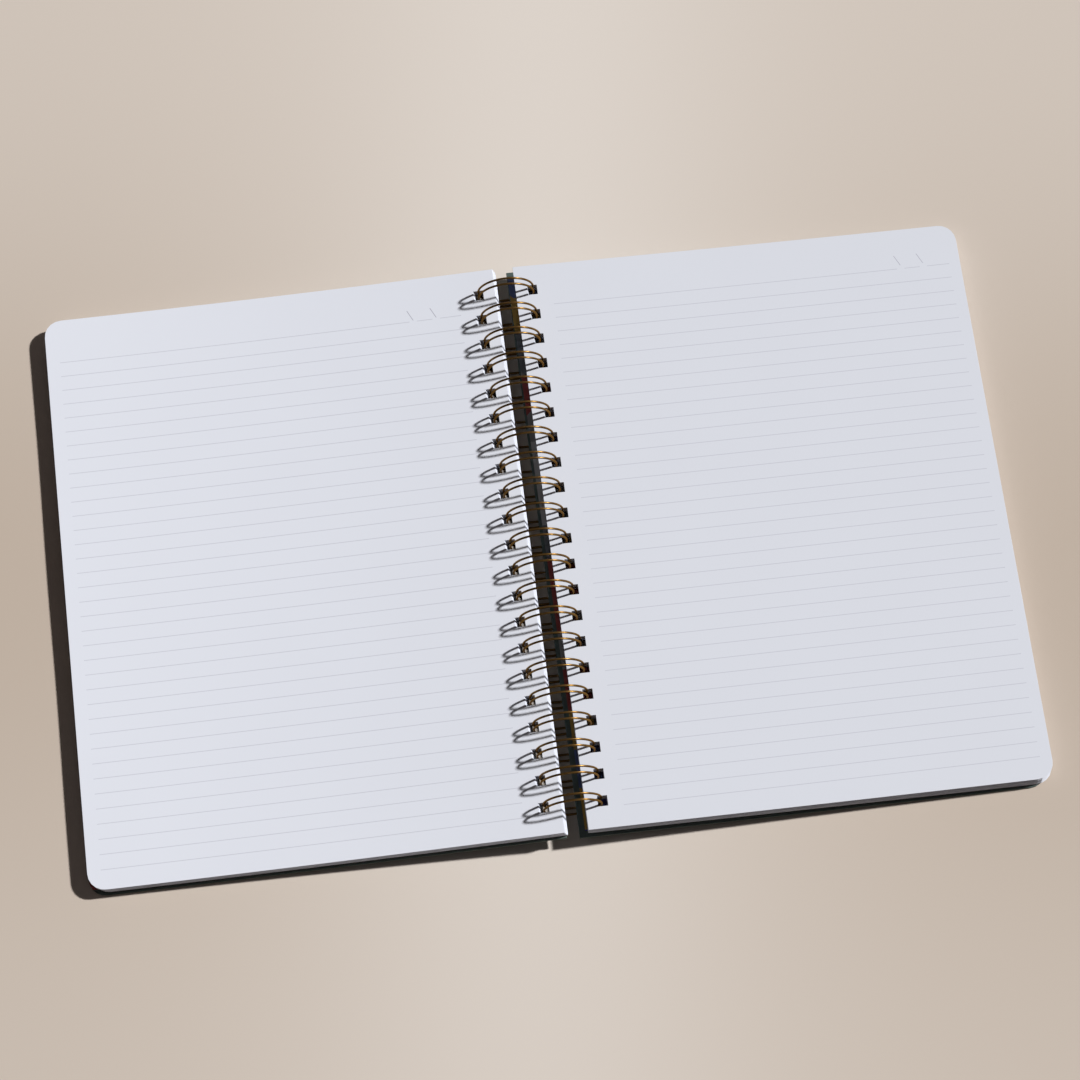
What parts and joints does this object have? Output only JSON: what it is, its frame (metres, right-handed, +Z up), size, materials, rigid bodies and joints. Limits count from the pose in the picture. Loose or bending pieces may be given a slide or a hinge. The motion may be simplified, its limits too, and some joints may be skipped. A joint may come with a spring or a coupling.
{
  "type": "open spiral notebook",
  "caption": "Ruled notebook lying open, its leaves and two cover boards held by a bent twin-loop wire down the spine.",
  "frame": {"origin": "on the table, under the middle of the wire's loop axis", "axes": "+X across the open halves towards the right-hand page, +Y along the spine towards the head of the page, +Z up from the table"},
  "size_m": [0.443, 0.2818, 0.0274],
  "materials": {
    "bronze_wire": "antique bronze lacquer over steel wire, glossy",
    "ruled_paper": "smooth cool white writing paper with faint grey-blue ruling",
    "cover_board": "matt laminated board, dark green outside, printed blocks of plain colour inside"
  },
  "bodies": {
    "wire": {"binding_wire": "bronze_wire"},
    "front_board": {"front_cover": "cover_board"},
    "left_leaves": {"left_pages": "ruled_paper"},
    "back_board": {"back_cover": "cover_board"},
    "right_leaves": {"right_pages": "ruled_paper"}
  },
  "joints": [
    {"name": "front_cover_turn", "type": "hinge", "parent": "wire", "child": "front_board", "pos_m": [0, 0, 0.0137], "axis": [0, 1, 0], "range_deg": [0, 182.5]},
    {"name": "left_pages_turn", "type": "hinge", "parent": "front_board", "child": "left_leaves", "pos_m": [0, 0, 0.0137], "axis": [0, 1, 0], "range_deg": [0, 176.5]},
    {"name": "back_cover_turn", "type": "hinge", "parent": "wire", "child": "back_board", "pos_m": [0, 0, 0.0137], "axis": [0, -1, 0], "range_deg": [0, 182.5]},
    {"name": "right_pages_turn", "type": "hinge", "parent": "back_board", "child": "right_leaves", "pos_m": [0, 0, 0.0137], "axis": [0, -1, 0], "range_deg": [0, 176.5]}
  ]
}
